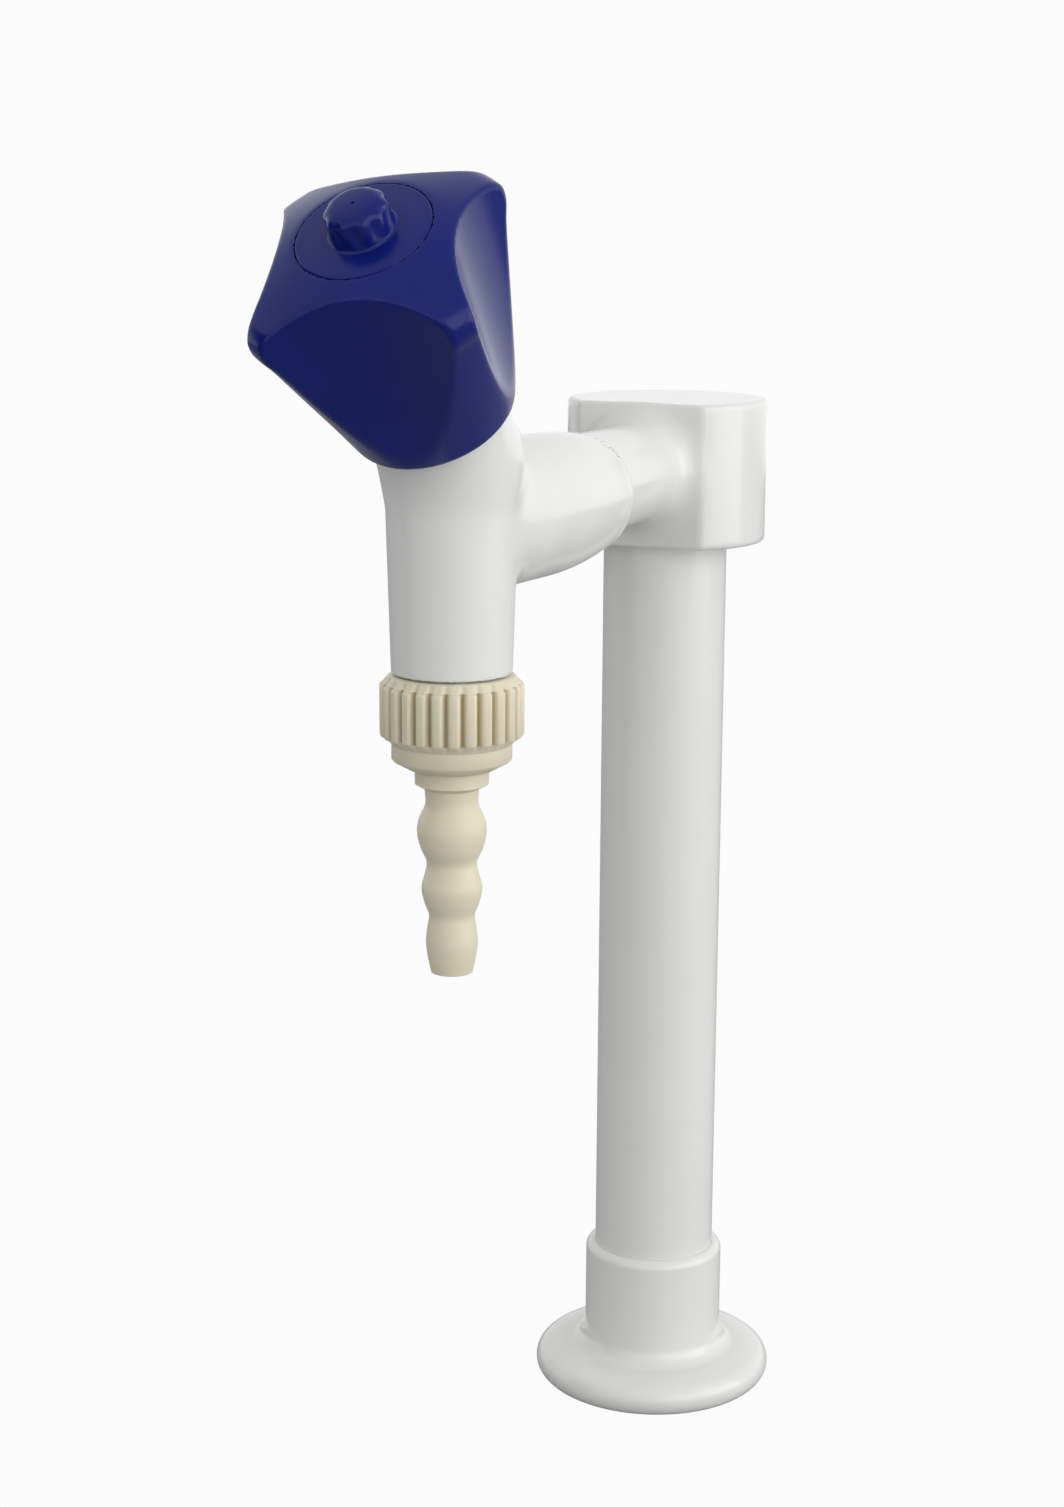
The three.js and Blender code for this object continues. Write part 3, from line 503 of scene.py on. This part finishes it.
def knob_field(x, y, h):
    """Distance to the knob's plastic, with h the height along its axis."""
    r = np.hypot(x, y)
    depth = INDEX_HEIGHT - h
    body = common(r - smooth_table(KNOB_DEPTHS, KNOB_RADII, depth), KNOB_CROWN - depth, KNOB_EDGE)
    body = common(body, KNOB_RIM - h, KNOB_EDGE)
    reach = SCOOP_DISTANCE + SCOOP_HOLLOW
    for i in range(SCOOP_COUNT):
        turn = math.radians(FIRST_SCOOP_DEGREES + 360 * i / SCOOP_COUNT)
        from_hollow = np.hypot(x - reach * math.cos(turn), y - reach * math.sin(turn))
        body = common(body, SCOOP_HOLLOW - from_hollow, SCOOP_EDGE)
    cavity = np.maximum(r - CAVITY_RADIUS, h - CAVITY_ROOF)
    hub = np.maximum(r - HUB_RADIUS, HUB_FOOT - h)
    cavity = np.maximum(cavity, -hub)
    recess = np.maximum(r - RECESS_RADIUS, RECESS_FLOOR - h)
    well = np.maximum(r - WELL_RADIUS, WELL_FLOOR - h)
    spline_hole = np.maximum(r - SPLINE_RADIUS, h - SPLINE_HOLE_TOP)
    hollow = np.minimum.reduce([cavity, recess, well, spline_hole, r - KNOB_SCREW_HOLE])
    return np.maximum(body, -hollow)


knob_points, knob_faces = skin(
    knob_field,
    (-KNOB_BOX_HALF_WIDTH, -KNOB_BOX_HALF_WIDTH, KNOB_RIM - SKIN_MARGIN),
    (KNOB_BOX_HALF_WIDTH, KNOB_BOX_HALF_WIDTH, INDEX_HEIGHT + SKIN_MARGIN), KNOB_CELL)
knob_points = [BONNET_PLACE @ Vector(point) for point in knob_points]
knob = mesh_object("knob_skin", knob_points, knob_faces, KNOB_MATERIAL)
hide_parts("knob")
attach(knob, "handle")

# Index cap
# A separate disc of the same blue plastic, pressed into the knob's top with a fine gap round
# it, and a small ribbed nub in its middle. The disc has no lettering.
CAP_RADIUS = 12.56 * MM
CAP_FOOT = 54.35 * MM
CAP_EDGE = 0.4 * MM
CAP_PIN_HOLE = 0.3 * MM
NUB_RADIUS = 6 * MM
NUB_TOP = 62 * MM
NUB_SHOULDER = 60.6 * MM
NUB_SHOULDER_ROUND = 0.4 * MM
NUB_CROWN_RADIUS = 4.6 * MM
NUB_CROWN_ROUND = 1 * MM
NUB_CROWN_EDGE = 0.3 * MM
NUB_CROWN_RISE = 0.05 * MM
NUB_DRAFT = 0.1 * MM
NUB_FILLET = 0.7 * MM
NUB_RIB_FOOT = 1.2 * MM
NUB_RIB_COUNT = 10
NUB_RIB_DEPTH = 0.45 * MM
NUB_RIB_STEPS = 16
PLUG_RADIUS = 4.05 * MM
PLUG_FOOT = 52.9 * MM


def nub_groove(angle):
    """How deep the hollow between two ribs of the nub is."""
    return 0.5 + 0.5 * math.cos(angle * NUB_RIB_COUNT)


cap = turned("cap_skin", [
    (CAP_PIN_HOLE, PLUG_FOOT),
    (PLUG_RADIUS, PLUG_FOOT),
    (PLUG_RADIUS, CAP_FOOT),
    (CAP_RADIUS, CAP_FOOT),
    *arc(CAP_RADIUS - CAP_EDGE, INDEX_HEIGHT - CAP_EDGE, CAP_EDGE, 0, 90, 5),
    *arc(NUB_RADIUS + NUB_FILLET, INDEX_HEIGHT + NUB_FILLET, NUB_FILLET, -90, -180, 5),
    (NUB_RADIUS, INDEX_HEIGHT + NUB_RIB_FOOT, NUB_RIB_DEPTH),
    (NUB_RADIUS - NUB_DRAFT, NUB_SHOULDER - NUB_SHOULDER_ROUND, NUB_RIB_DEPTH),
    (NUB_RADIUS - NUB_SHOULDER_ROUND, NUB_SHOULDER + NUB_CROWN_EDGE, NUB_RIB_DEPTH / 2),
    (NUB_CROWN_RADIUS, NUB_TOP - NUB_CROWN_EDGE),
    (NUB_CROWN_RADIUS - NUB_CROWN_ROUND, NUB_TOP),
    (CAP_PIN_HOLE, NUB_TOP + NUB_CROWN_RISE),
], KNOB_MATERIAL, BONNET_PLACE, NUB_RIB_STEPS * NUB_RIB_COUNT, nub_groove)
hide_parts("index_cap")
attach(cap, "handle")

# Union nut
# A moulded nut in cream plastic: a barrel of straight ribs with painted tan shade in the grooves,
# a chamfered top, and a plain ring below that narrows to the nozzle.
NUT_TOP = 191.4 * MM
NUT_RADIUS = 14 * MM
NUT_CHAMFER_RADIUS = 11.9 * MM
NUT_CHAMFER_ROUND = 0.2 * MM
NUT_SHOULDER = 189.8 * MM
NUT_SHOULDER_ROUND = 0.5 * MM
NUT_RIB_FOOT = 179.6 * MM
NUT_RIB_ROUND = 0.4 * MM
NUT_RIB_RUN_OUT = 0.1 * MM
NUT_EDGE = 0.3 * MM
NUT_STEP = 1.6 * MM
NUT_STEP_RISE = 0.8 * MM
NUT_RING_TOP = 177.9 * MM
NUT_RING_RADIUS = 11.7 * MM
NUT_RING_FOOT = 174.8 * MM
NUT_RING_ROUND = 0.2 * MM
NUT_FOOT = 173 * MM
NUT_FOOT_RADIUS = 8.5 * MM
NUT_RIB_COUNT = 26
NUT_RIB_DEPTH = 1.2 * MM
NUT_SHOULDER_DEPTH = 0.96 * MM
NUT_RIB_STEPS = 14
NUT_THREAD_RADIUS = 10.2 * MM
NUT_LIP_TOP = 177.65 * MM
NUT_HOLE_RADIUS = 7.5 * MM
OUTLET_PLACE = Matrix.Translation((0, OUTLET_Y, 0))

CREAM = (0.76, 0.72, 0.57, 1)
CREAM_WARM = (0.68, 0.63, 0.46, 1)
CREAM_PATCH = 7 * MM
CREAM_ROUGHNESS = (0.34, 0.48)
CREAM_ROUGHNESS_PATCH = 2 * MM
CREAM_WAVE = (3 * MM, 0.02 * MM, 2)
CREAM_GRAIN = (0.4 * MM, 0.006 * MM, 3)
CREAM_SUBSURFACE = 0.25
CREAM_SUBSURFACE_REACH = (2 * MM, 1.5 * MM, 1 * MM)
# Painted shade: the tan that the nut's grooves turn, standing in for their shadow.
PAINTED_GROOVE_SHADE = (0.42, 0.35, 0.19, 1)


def groove_shade(add):
    """How deep in the nut's grooves a point lies, from 0 on the ribs to 1 at the bottom: the mask for the
    painted groove shade.
    """
    split = add("ShaderNodeSeparateXYZ", {0: object_place(add)}).outputs
    flat = add("ShaderNodeCombineXYZ", {
        "X": split["X"],
        "Y": math_node(add, "ADD", split["Y"], -OUTLET_Y),
    }).outputs[0]
    radius = add("ShaderNodeVectorMath", {0: flat}, operation="LENGTH").outputs["Value"]
    depth = add("ShaderNodeMapRange", {
        "Value": radius,
        "From Min": NUT_RADIUS - NUT_EDGE,
        "From Max": NUT_RADIUS - NUT_RIB_DEPTH,
    }).outputs[0]
    above_foot = math_node(add, "GREATER_THAN", split["Z"], NUT_RIB_FOOT)
    below_shoulder = math_node(add, "LESS_THAN", split["Z"], NUT_SHOULDER)
    beside_ribs = math_node(add, "MULTIPLY", above_foot, below_shoulder)
    return math_node(add, "MULTIPLY", beside_ribs, depth)


def cream_material(name, shade_grooves=False):
    """Satin cream plastic. Between ribs it can turn tan, a painted shade in the grooves."""
    material = patchy_material(
        name, (CREAM, CREAM_WARM), CREAM_PATCH,
        CREAM_ROUGHNESS, CREAM_ROUGHNESS_PATCH, [CREAM_WAVE, CREAM_GRAIN], detail=4,
        more={
            "Subsurface Weight": CREAM_SUBSURFACE,
            "Subsurface Radius": CREAM_SUBSURFACE_REACH,
            "Subsurface Scale": 1.0,
        })
    if shade_grooves:
        add = adder(material.node_tree)
        shader = material.node_tree.nodes["Principled BSDF"]
        cream = shader.inputs["Base Color"].links[0].from_socket
        # Painted shade: the colour turns towards tan the deeper a point lies in a groove.
        set_inputs(shader, {"Base Color": mixed(add, groove_shade(add), cream, PAINTED_GROOVE_SHADE)})
    return material


CREAM_MATERIAL = cream_material("cream_plastic")
NUT_MATERIAL = cream_material("ribbed_cream_plastic", shade_grooves=True)


def nut_groove(angle):
    """How deep the groove between two ribs is: narrow round-bottomed cuts between wide ribs."""
    wave = 0.5 + 0.5 * math.cos(angle * NUT_RIB_COUNT)
    return wave ** 3


nut = turned("nut_skin", [
    (NUT_HOLE_RADIUS, NUT_FOOT),
    (NUT_FOOT_RADIUS, NUT_FOOT),
    (NUT_RING_RADIUS - NUT_EDGE, NUT_RING_FOOT - NUT_RING_ROUND),
    (NUT_RING_RADIUS, NUT_RING_FOOT + NUT_RING_ROUND),
    (NUT_RING_RADIUS, NUT_RING_TOP),
    (NUT_RADIUS - NUT_STEP, NUT_RING_TOP + NUT_STEP_RISE),
    (NUT_RADIUS - NUT_EDGE, NUT_RIB_FOOT - NUT_RIB_RUN_OUT, NUT_RIB_DEPTH),
    (NUT_RADIUS, NUT_RIB_FOOT + NUT_RIB_ROUND, NUT_RIB_DEPTH),
    (NUT_RADIUS, NUT_SHOULDER - NUT_SHOULDER_ROUND, NUT_RIB_DEPTH),
    (NUT_RADIUS - NUT_SHOULDER_ROUND, NUT_SHOULDER, NUT_SHOULDER_DEPTH),
    (NUT_CHAMFER_RADIUS + NUT_EDGE, NUT_TOP - NUT_CHAMFER_ROUND),
    (NUT_CHAMFER_RADIUS - NUT_CHAMFER_ROUND, NUT_TOP),
    (NUT_THREAD_RADIUS, NUT_TOP),
    (NUT_THREAD_RADIUS, NUT_LIP_TOP),
    (NUT_HOLE_RADIUS, NUT_LIP_TOP),
], NUT_MATERIAL, OUTLET_PLACE, NUT_RIB_STEPS * NUT_RIB_COUNT, nut_groove)
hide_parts("union_nut")
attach(nut, "nut")

# Hose nozzle
# The same cream plastic, moulded in one: a collar inside the nut, a plain flange below it
# and three swelling barbs that the hose grips.
NOZZLE_BORE = 3 * MM
NOZZLE_COLLAR_TOP = 179.7 * MM
NOZZLE_COLLAR_RADIUS = 9.7 * MM
NOZZLE_COLLAR_FOOT = 177.7 * MM
NOZZLE_FLANGE_RADIUS = 7.2 * MM
NOZZLE_FLANGE_FOOT = 169.9 * MM
NOZZLE_NECK_TOP = 168.9 * MM
NOZZLE_TIP = 131.9 * MM
NOZZLE_STEPS = 96
BARB_CURVE_HEIGHTS = np.array([
    131.9, 135, 138.1, 141, 143.5, 146, 149, 151.8, 154, 157, 160.6, 163.2, 165.3, 168.9]) * MM
BARB_CURVE_RADII = np.array([
    4.1, 4.75, 5.1, 4.8, 4.5, 5.4, 5.95, 5.3, 4.9, 6.1, 6.8, 6.3, 5.3, 5.3]) * MM
BARB_POINTS = 70
barb_heights = np.linspace(NOZZLE_TIP, NOZZLE_NECK_TOP, BARB_POINTS)
barb_radii = smooth_table(BARB_CURVE_HEIGHTS, BARB_CURVE_RADII, barb_heights)
nozzle = turned("nozzle_skin", [
    (NOZZLE_BORE, NOZZLE_TIP),
    *zip(barb_radii.tolist(), barb_heights.tolist()),
    (NOZZLE_FLANGE_RADIUS, NOZZLE_FLANGE_FOOT),
    (NOZZLE_FLANGE_RADIUS, NOZZLE_COLLAR_FOOT),
    (NOZZLE_COLLAR_RADIUS, NOZZLE_COLLAR_FOOT),
    (NOZZLE_COLLAR_RADIUS, NOZZLE_COLLAR_TOP),
    (NOZZLE_BORE, NOZZLE_COLLAR_TOP),
], CREAM_MATERIAL, OUTLET_PLACE, NOZZLE_STEPS)
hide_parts("hose_nozzle")
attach(nozzle, "nozzle_set")

# Working parts inside
# Machined brass headwork, spindle and jumper with fine turning marks, stainless seat, clip
# and screws, and matt black rubber seals. They show only when the tap is taken apart.
BRASS = (0.60, 0.40, 0.13, 1)
BRASS_DULL = (0.48, 0.31, 0.10, 1)
BRASS_ROUGHNESS = (0.22, 0.4)
STEEL = (0.50, 0.51, 0.53, 1)
STEEL_DULL = (0.40, 0.41, 0.43, 1)
STEEL_ROUGHNESS = (0.2, 0.36)
METAL_PATCH = 5 * MM
METAL_ROUGHNESS_PATCH = 0.8 * MM
METAL_GRAIN = (0.3 * MM, 0.004 * MM, 3)
RUBBER = (0.012, 0.012, 0.013, 1)
RUBBER_DUSTY = (0.030, 0.030, 0.031, 1)
RUBBER_PATCH = 4 * MM
RUBBER_ROUGHNESS = (0.6, 0.85)
RUBBER_ROUGHNESS_PATCH = 1 * MM
RUBBER_GRAIN = (0.5 * MM, 0.02 * MM, 3)


def metal_material(name, colours, roughness):
    return patchy_material(
        name, colours, METAL_PATCH, roughness, METAL_ROUGHNESS_PATCH, [METAL_GRAIN],
        detail=4, more={"Metallic": 1.0})


BRASS_MATERIAL = metal_material("brass", (BRASS, BRASS_DULL), BRASS_ROUGHNESS)
STEEL_MATERIAL = metal_material("steel", (STEEL, STEEL_DULL), STEEL_ROUGHNESS)
RUBBER_MATERIAL = patchy_material(
    "black_rubber", (RUBBER, RUBBER_DUSTY), RUBBER_PATCH,
    RUBBER_ROUGHNESS, RUBBER_ROUGHNESS_PATCH, [RUBBER_GRAIN], detail=4)
inner_pieces = [
    (BRASS_MATERIAL, ["inlet_bush", "headwork_body", "spindle", "jumper"]),
    (STEEL_MATERIAL, ["valve_seat", "spindle_clip", "washer_screw", "knob_screw"]),
    (RUBBER_MATERIAL, [
        "base_gasket", "column_foot_seal", "column_head_seal", "arm_seal", "headwork_gasket",
        "spindle_ring_lower", "spindle_ring_upper", "jumper_washer", "nozzle_gasket"]),
    (CREAM_MATERIAL, ["thrust_washer"]),
]
for material, names in inner_pieces:
    for name in names:
        nodes[name].data.materials.clear()
        nodes[name].data.materials.append(material)

# Floor
# A matt grey floor, which throws a little light back onto the tap. The camera sees it as
# plain white, as in a catalogue picture with its background cleared.
FLOOR_HALF_SIZE = 2.0
FLOOR_DROP = 0.2 * MM
FLOOR_GREY = (0.36, 0.36, 0.36, 1)
FLOOR_GREY_DARK = (0.33, 0.33, 0.33, 1)
FLOOR_PATCH = 0.2
FLOOR_ROUGHNESS = 0.8
PAPER_WHITE = (0.965, 0.965, 0.965, 1)


def floor_material():
    material, shader, add = new_material("grey_floor")
    colour = mixed(add, noise(add, object_place(add), FLOOR_PATCH), FLOOR_GREY, FLOOR_GREY_DARK)
    set_inputs(shader, {"Base Color": colour, "Roughness": FLOOR_ROUGHNESS})
    paper = add("ShaderNodeEmission", {"Color": PAPER_WHITE})
    seen = add("ShaderNodeLightPath").outputs["Is Camera Ray"]
    blend = add("ShaderNodeMixShader", {0: seen, 1: shader.outputs[0], 2: paper.outputs[0]})
    set_inputs(material.node_tree.nodes["Material Output"], {"Surface": blend.outputs[0]})
    return material


def panel(name, corners, material):
    """A flat panel with four corners."""
    mesh = bpy.data.meshes.new(name)
    mesh.from_pydata(corners, [], [(0, 1, 2, 3)])
    return linked_object(name, mesh, material)


floor = panel("floor", [
    (-FLOOR_HALF_SIZE, -FLOOR_HALF_SIZE, 0),
    (FLOOR_HALF_SIZE, -FLOOR_HALF_SIZE, 0),
    (FLOOR_HALF_SIZE, FLOOR_HALF_SIZE, 0),
    (-FLOOR_HALF_SIZE, FLOOR_HALF_SIZE, 0),
], floor_material())
floor.location.z = -FLOOR_DROP

# Room light
# A white room that is brighter round its walls than overhead. The camera sees plain white
# in its place.
ROOM_OVERHEAD = 0.62
ROOM_WALLS = 1.08
ROOM_WHITE = (1, 1, 1, 1)
world = bpy.data.worlds.new("room")
bpy.context.scene.world = world
world.use_nodes = True
sky = world.node_tree
add_sky = adder(sky)
upward = add_sky("ShaderNodeSeparateXYZ", {0: add_sky("ShaderNodeTexCoord").outputs["Generated"]})
strength = spread(add_sky, upward.outputs["Z"], ROOM_WALLS, ROOM_OVERHEAD)
set_inputs(sky.nodes["Background"], {"Color": ROOM_WHITE, "Strength": strength})
backdrop = add_sky("ShaderNodeBackground", {"Color": PAPER_WHITE})
choice = add_sky("ShaderNodeMixShader", {
    0: add_sky("ShaderNodeLightPath").outputs["Is Camera Ray"],
    1: sky.nodes["Background"].outputs[0],
    2: backdrop.outputs[0],
})
set_inputs(sky.nodes["World Output"], {"Surface": choice.outputs[0]})

# Soft boxes
# Two large soft boxes stand on the right, so the white pieces are lightest there and fall
# off to grey on the left. Sizes are in metres and powers in watts.
LIGHT_TARGET = (0, -0.05, 0.15)
SIDE_BOX_PLACE = (1.1, 0.1, 0.45)
SIDE_BOX_SIZE = (0.9, 0.9)
SIDE_BOX_POWER = 4
FRONT_BOX_PLACE = (0.95, -0.75, 0.5)
FRONT_BOX_SIZE = (0.7, 0.9)
FRONT_BOX_POWER = 2.2


def soft_box(name, place, size, power):
    """A rectangular area light turned towards the tap."""
    light = bpy.data.lights.new(name, "AREA")
    light.shape = "RECTANGLE"
    light.size, light.size_y = size
    light.energy = power
    obj = bpy.data.objects.new(name, light)
    obj.location = place
    aim = Vector(LIGHT_TARGET) - Vector(place)
    obj.rotation_euler = aim.to_track_quat("-Z", "Y").to_euler()
    bpy.context.scene.collection.objects.link(obj)


soft_box("side_box", SIDE_BOX_PLACE, SIDE_BOX_SIZE, SIDE_BOX_POWER)
soft_box("front_box", FRONT_BOX_PLACE, FRONT_BOX_SIZE, FRONT_BOX_POWER)

# Dark flag
# A dark cloth hangs upright on the left, as studios do, to give the white tubes an edge. It
# is left out of the picture itself, so that no view is blocked by it.
FLAG_PLACE = (-0.42, -0.34, 0.22)
FLAG_TURN = math.radians(-50)
FLAG_HALF_WIDTH = 0.12
FLAG_HALF_HEIGHT = 0.22
CLOTH = (0.012, 0.012, 0.014, 1)
CLOTH_WORN = (0.022, 0.022, 0.024, 1)
CLOTH_WEAVE = 2 * MM
CLOTH_ROUGHNESS = 0.9


def cloth_material():
    material, shader, add = new_material("dark_cloth")
    weave = noise(add, object_place(add), CLOTH_WEAVE, 3)
    set_inputs(shader, {"Base Color": mixed(add, weave, CLOTH, CLOTH_WORN), "Roughness": CLOTH_ROUGHNESS})
    return material


flag = panel("dark_flag", [
    (-FLAG_HALF_WIDTH, 0, -FLAG_HALF_HEIGHT),
    (FLAG_HALF_WIDTH, 0, -FLAG_HALF_HEIGHT),
    (FLAG_HALF_WIDTH, 0, FLAG_HALF_HEIGHT),
    (-FLAG_HALF_WIDTH, 0, FLAG_HALF_HEIGHT),
], cloth_material())
flag.location = FLAG_PLACE
flag.rotation_euler.z = FLAG_TURN
flag.visible_camera = False

# Camera
# The photo's view: 24 degrees to the side, about 12 above, 0.63 m away, with a slight roll.
# It looks at a point beside the column, at the given height.
CAMERA_AZIMUTH = math.radians(24.0)
CAMERA_ELEVATION = math.radians(12.28)
CAMERA_ROLL = math.radians(0.37)
CAMERA_DISTANCE = 0.627
CAMERA_SIDE = -0.0301
CAMERA_HEIGHT = 0.1535
CAMERA_LENS = 64.5
CAMERA_CLIP_START = 0.01
back = Vector((
    math.sin(CAMERA_AZIMUTH) * math.cos(CAMERA_ELEVATION),
    -math.cos(CAMERA_AZIMUTH) * math.cos(CAMERA_ELEVATION),
    math.sin(CAMERA_ELEVATION),
))
right = Vector((math.cos(CAMERA_AZIMUTH), math.sin(CAMERA_AZIMUTH), 0))
up = back.cross(right)
rolled_right = math.cos(CAMERA_ROLL) * right + math.sin(CAMERA_ROLL) * up
rolled_up = math.cos(CAMERA_ROLL) * up - math.sin(CAMERA_ROLL) * right
camera = bpy.data.objects.new("camera", bpy.data.cameras.new("camera"))
camera.data.lens = CAMERA_LENS
camera.data.clip_start = CAMERA_CLIP_START
camera.matrix_world = Matrix((rolled_right, rolled_up, back)).transposed().to_4x4()
camera.location = right * CAMERA_SIDE + Vector((0, 0, CAMERA_HEIGHT)) + back * CAMERA_DISTANCE
bpy.context.scene.collection.objects.link(camera)
bpy.context.scene.camera = camera
bpy.context.scene.view_settings.view_transform = "Standard"

bpy.context.view_layer.update()
